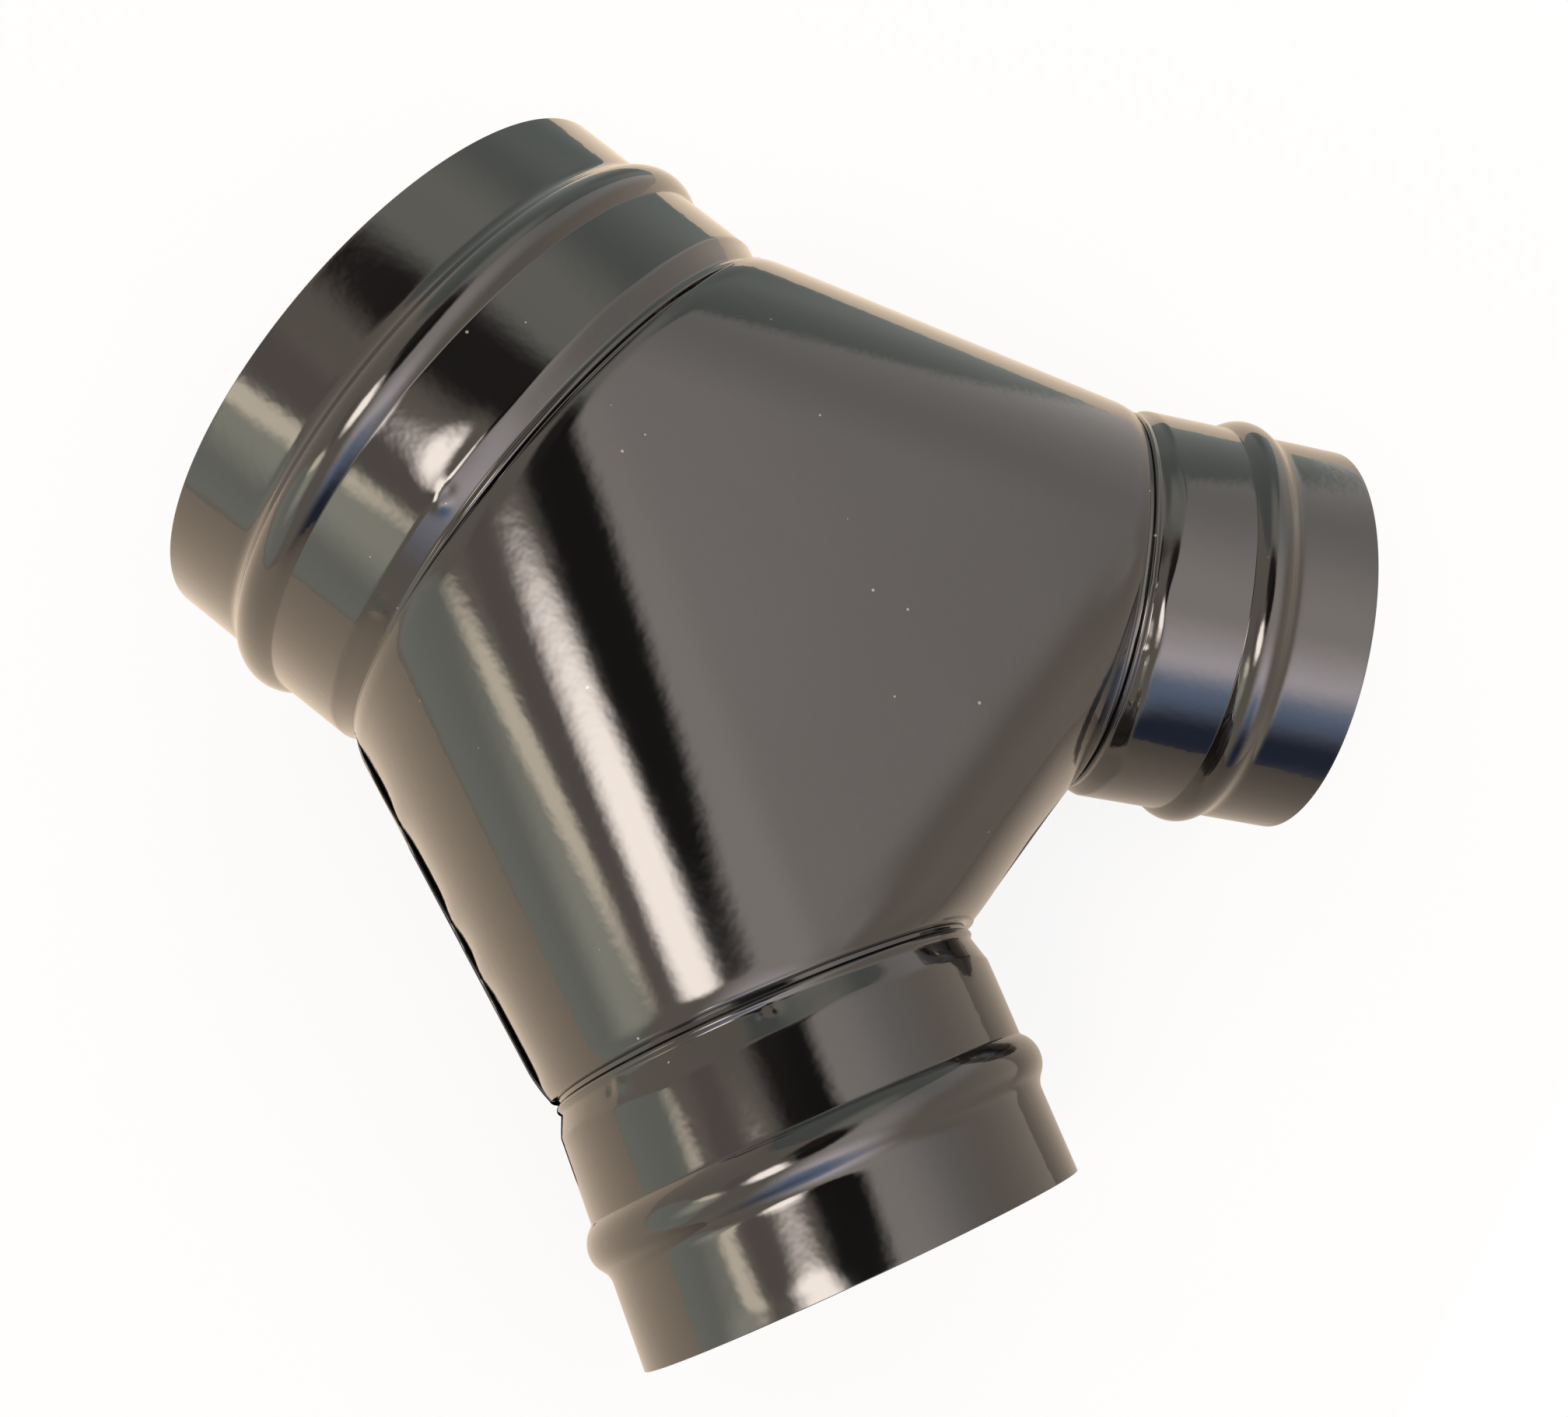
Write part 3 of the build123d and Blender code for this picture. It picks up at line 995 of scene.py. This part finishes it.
def wood_with_painted_shade(at_inlet, painted_shade_past_outlets):
    """The table's colour from the inlet to past the outlets, darkened there by painted shade, and
    white for the camera.
    """
    # mixes the table's colour at the inlet into painted shade past the outlets
    wood = add_node(tree, "ShaderNodeMix", data_type="RGBA", values={
        "A": at_inlet, "B": painted_shade_past_outlets})
    seen = add_node(tree, "ShaderNodeMix", data_type="RGBA", values={"B": white})
    join(
        tree,
        (fade.outputs["Result"], wood.inputs["Factor"]),
        (wood.outputs["Result"], seen.inputs["A"]),
        (ray.outputs["Is Camera Ray"], seen.inputs["Factor"]),
    )
    return seen.outputs["Result"]


lit = add_node(tree, "ShaderNodeBsdfDiffuse")
glow = add_node(tree, "ShaderNodeEmission", values={"Strength": 1.0})
to_camera = add_node(tree, "ShaderNodeMath", operation="MULTIPLY", values={1: 1 - shadow_share})
to_paint = add_node(tree, "ShaderNodeMath", operation="MULTIPLY", values={1: mirror_share})
glow_share = add_node(tree, "ShaderNodeMath", operation="ADD")
table_light = add_node(tree, "ShaderNodeMixShader")
join(
    tree,
    (wood_with_painted_shade(*lit_wood_with_painted_shade), lit.inputs["Color"]),
    (wood_with_painted_shade(*glowing_wood_with_painted_shade), glow.inputs["Color"]),
    (ray.outputs["Is Camera Ray"], to_camera.inputs[0]),
    (ray.outputs["Is Glossy Ray"], to_paint.inputs[0]),
    (to_camera.outputs["Value"], glow_share.inputs[0]),
    (to_paint.outputs["Value"], glow_share.inputs[1]),
    (glow_share.outputs["Value"], table_light.inputs["Fac"]),
    (lit.outputs["BSDF"], table_light.inputs[1]),
    (glow.outputs["Emission"], table_light.inputs[2]),
)
print("the camera sees", round(100 * shadow_share), "percent of the lit table")

# %% [markdown]
# ## The dark strip under the side seam
#
# Where a round duct nearly touches the table, hardly any light gets in between. In the paint just
# below the side seam that place shows as a dark strip, and it makes the slit look deeper. The real
# strip is darker than the small shadow here would be, because the table glows a little. So a soft
# dark patch lies along the seam's foot, and only rays from the paint can see it.

# %% A patch that only the paint mirrors
seam_shadow_half = (0.0493, 0.0135)  # metres, along the seam's foot and across it
seam_shadow_middle = 0.52  # a share of the seam
seam_shadow_soft = {"X": 0.96, "Y": 0.80}  # shares of the half size at which it starts to fade

seam_foot = lay_down(quarter["side"][[0, -1], 0])[:, :2]
foot_run = seam_foot[1] - seam_foot[0]
foot_middle = seam_foot[0] + seam_shadow_middle * foot_run
foot_turn = atan2(foot_run[1], foot_run[0])

by_seam = add_node(tree, "ShaderNodeMapping", vector_type="TEXTURE", values={
    "Location": (*foot_middle, 0), "Rotation": (0, 0, foot_turn),
    "Scale": (*seam_shadow_half, 1)})
foot_axes = add_node(tree, "ShaderNodeSeparateXYZ")
shadow = ray.outputs["Is Glossy Ray"]
for axis, fades_from in seam_shadow_soft.items():
    size = add_node(tree, "ShaderNodeMath", operation="ABSOLUTE")
    fall = add_node(tree, "ShaderNodeMapRange", interpolation_type="SMOOTHSTEP", values={
        "From Min": 1.0, "From Max": fades_from})
    both = add_node(tree, "ShaderNodeMath", operation="MULTIPLY")
    join(
        tree,
        (foot_axes.outputs[axis], size.inputs[0]),
        (size.outputs["Value"], fall.inputs["Value"]),
        (shadow, both.inputs[0]),
        (fall.outputs["Result"], both.inputs[1]),
    )
    shadow = both.outputs["Value"]
dark = add_node(tree, "ShaderNodeBsdfDiffuse", values={"Color": (0, 0, 0, 1)})
shaded = add_node(tree, "ShaderNodeMixShader")
surface = add_node(tree, "ShaderNodeOutputMaterial")
join(
    tree,
    (spot.outputs["Position"], by_seam.inputs["Vector"]),
    (by_seam.outputs["Vector"], foot_axes.inputs["Vector"]),
    (shadow, shaded.inputs["Fac"]),
    (table_light.outputs["Shader"], shaded.inputs[1]),
    (dark.outputs["BSDF"], shaded.inputs[2]),
    (shaded.outputs["Shader"], surface.inputs["Surface"]),
)
print("the dark patch is turned by", round(degrees(foot_turn), 1), "degrees")

# %% [markdown]
# ## The studio around the duct
#
# Photographers light gloss with cards and soft boxes, because what they place around the object is
# what the paint will show. A handy chart for placing them is a chrome ball: put one where the duct
# is, and the camera sees the whole room in it, the camera itself in the middle and the floor as a
# rim. Each card below is written by its place on that ball, from -1 to 1 across and up.
#
# The ball is only a chart. Its axes are fixed in the room, so the cards stay where they are when
# another camera looks at the duct.

# %% A soft-edged card on the chart
card = bpy.data.node_groups.new("studio_card", "ShaderNodeTree")
for socket, kind in (
    ("Place", "NodeSocketVector"),
    ("Behind", "NodeSocketColor"),
    ("Centre", "NodeSocketVector"),
    ("Turn", "NodeSocketVector"),
    ("Half size", "NodeSocketVector"),
    ("Ends at", "NodeSocketFloat"),
    ("Fades from", "NodeSocketFloat"),
    ("Colour", "NodeSocketColor"),
):
    card.interface.new_socket(socket, in_out="INPUT", socket_type=kind)
card.interface.new_socket("Colour", in_out="OUTPUT", socket_type="NodeSocketColor")

inside = add_node(card, "NodeGroupInput")
outside = add_node(card, "NodeGroupOutput")
own_place = add_node(card, "ShaderNodeMapping", vector_type="TEXTURE")
from_centre = add_node(card, "ShaderNodeVectorMath", operation="LENGTH")
edge = add_node(card, "ShaderNodeMapRange", interpolation_type="SMOOTHSTEP")
cover = add_node(card, "ShaderNodeMix", data_type="RGBA")
join(
    card,
    (inside.outputs["Place"], own_place.inputs["Vector"]),
    (inside.outputs["Centre"], own_place.inputs["Location"]),
    (inside.outputs["Turn"], own_place.inputs["Rotation"]),
    (inside.outputs["Half size"], own_place.inputs["Scale"]),
    (own_place.outputs["Vector"], from_centre.inputs[0]),
    (from_centre.outputs["Value"], edge.inputs["Value"]),
    (inside.outputs["Ends at"], edge.inputs["From Min"]),
    (inside.outputs["Fades from"], edge.inputs["From Max"]),
    (edge.outputs["Result"], cover.inputs["Factor"]),
    (inside.outputs["Behind"], cover.inputs["A"]),
    (inside.outputs["Colour"], cover.inputs["B"]),
    (cover.outputs["Result"], outside.inputs["Colour"]),
)
print("a card has", len(card.nodes), "nodes")

# %% The chart
world = bpy.data.worlds.new("studio")
bpy.context.scene.world = world
world.use_nodes = True
tree = world.node_tree
tree.nodes.clear()

# A mirror faces halfway between what it sees and who looks into it
direction = add_node(tree, "ShaderNodeTexCoord")
halfway = add_node(tree, "ShaderNodeVectorMath", operation="ADD", values={1: -looks})
unit = add_node(tree, "ShaderNodeVectorMath", operation="NORMALIZE")
chart_x = add_node(tree, "ShaderNodeVectorMath", operation="DOT_PRODUCT", values={1: picture_right})
chart_y = add_node(tree, "ShaderNodeVectorMath", operation="DOT_PRODUCT", values={1: picture_up})
chart = add_node(tree, "ShaderNodeCombineXYZ")
join(
    tree,
    (direction.outputs["Generated"], halfway.inputs[0]),
    (halfway.outputs["Vector"], unit.inputs[0]),
    (unit.outputs["Vector"], chart_x.inputs[0]),
    (unit.outputs["Vector"], chart_y.inputs[0]),
    (chart_x.outputs["Value"], chart.inputs["X"]),
    (chart_y.outputs["Value"], chart.inputs["Y"]),
)
print("the chart's middle faces", [round(part, 2) for part in -looks])

# %% The cards
# name, centre, half size, turn in degrees, softness, colour; a later card covers an earlier one
room_colour = (0.76, 0.65, 0.55)
cards = (
    ("upper wall", (0.38, 0.52), (0.22, 0.36), 0, 0.40, (0.88, 0.83, 0.79)),
    ("warm wall", (0.22, 0.04), (0.20, 0.34), 0, 0.70, (1.62, 1.45, 1.36)),
    ("green wall", (0.08, 0.90), (0.60, 0.39), 45, 0.05, (0.44, 0.47, 0.44)),
    ("green wall, low", (0.09, 0.48), (0.12, 0.17), -25, 0.60, (0.92, 0.90, 0.80)),
    ("dark top", (0.18, 0.92), (0.16, 0.10), 0, 0.60, (0.28, 0.31, 0.29)),
    ("shaded corner", (0.85, -0.50), (0.25, 0.25), 0, 0.80, (0.42, 0.36, 0.30)),
    ("side wall", (-0.49, -0.21), (0.30, 0.13), -57, 0.10, (0.88, 0.89, 0.77)),
    ("lamp halo", (-0.38, -0.17), (0.08, 0.10), 0, 0.80, (1.72, 1.68, 1.38)),
    ("lamp", (-0.375, -0.085), (0.075, 0.034), -25, 0.60, (3.90, 3.40, 2.70)),
    ("dim ceiling", (-0.29, 0.02), (0.06, 0.13), 15, 0.50, (0.62, 0.52, 0.47)),
    ("main lamp halo", (-0.14, 0.02), (0.07, 0.07), 0, 0.60, (1.40, 1.18, 1.05)),
    ("main lamp", (-0.12, -0.015), (0.09, 0.09), 0, 0.45, (8.40, 7.50, 6.80)),
    ("window", (0.20, -0.28), (0.15, 0.15), 0, 1.00, (2.90, 2.60, 2.70)),
    ("blue window", (0.16, -0.42), (0.15, 0.11), 0, 0.80, (0.74, 0.96, 1.42)),
    ("dark window", (0.14, -0.60), (0.18, 0.13), 0, 0.80, (0.07, 0.10, 0.19)),
    ("black flag", (0.04, 0.17), (0.10, 0.19), -18, 0.35, (0.02, 0.02, 0.02)),
    ("black flag, top", (-0.03, 0.27), (0.13, 0.08), 60, 0.45, (0.06, 0.05, 0.05)),
)
behind = add_node(tree, "ShaderNodeRGB")
behind.outputs["Color"].default_value = (*room_colour, 1)
room = behind.outputs["Color"]
for name, centre, half_size, turn_by, softness, colour in cards:
    hung = add_node(tree, "ShaderNodeGroup", node_tree=card, label=name, values={
        "Centre": (*centre, 0),
        "Turn": (0, 0, radians(turn_by)),
        "Half size": (*half_size, 1),
        "Ends at": 1 + softness,
        "Fades from": 1 - softness,
        "Colour": (*colour, 1),
    })
    join(tree, (chart.outputs["Vector"], hung.inputs["Place"]), (room, hung.inputs["Behind"]))
    room = hung.outputs["Colour"]
print(len(cards), "cards in the studio")

# %% [markdown]
# ## A white ground
#
# The photograph's ground is plain white, also past the edges of the table. A white world would
# wash out the room in the paint. So the Light Path node is used once more: rays from the camera
# that meet nothing get white, and all others get the room. Colours stay as they are written,
# because the Standard view transform adds no film look of its own.

# %% The room for the paint, and white for the camera
ray = add_node(tree, "ShaderNodeLightPath")
studio = add_node(tree, "ShaderNodeBackground", values={"Strength": 1.0})
ground = add_node(tree, "ShaderNodeBackground", values={"Color": white, "Strength": 1.0})
seen = add_node(tree, "ShaderNodeMixShader")
sky = add_node(tree, "ShaderNodeOutputWorld")
join(
    tree,
    (room, studio.inputs["Color"]),
    (ray.outputs["Is Camera Ray"], seen.inputs["Fac"]),
    (studio.outputs["Background"], seen.inputs[1]),
    (ground.outputs["Background"], seen.inputs[2]),
    (seen.outputs["Shader"], sky.inputs["Surface"]),
)
bpy.context.scene.view_settings.view_transform = "Standard"
print("the world has", len(tree.nodes), "nodes")
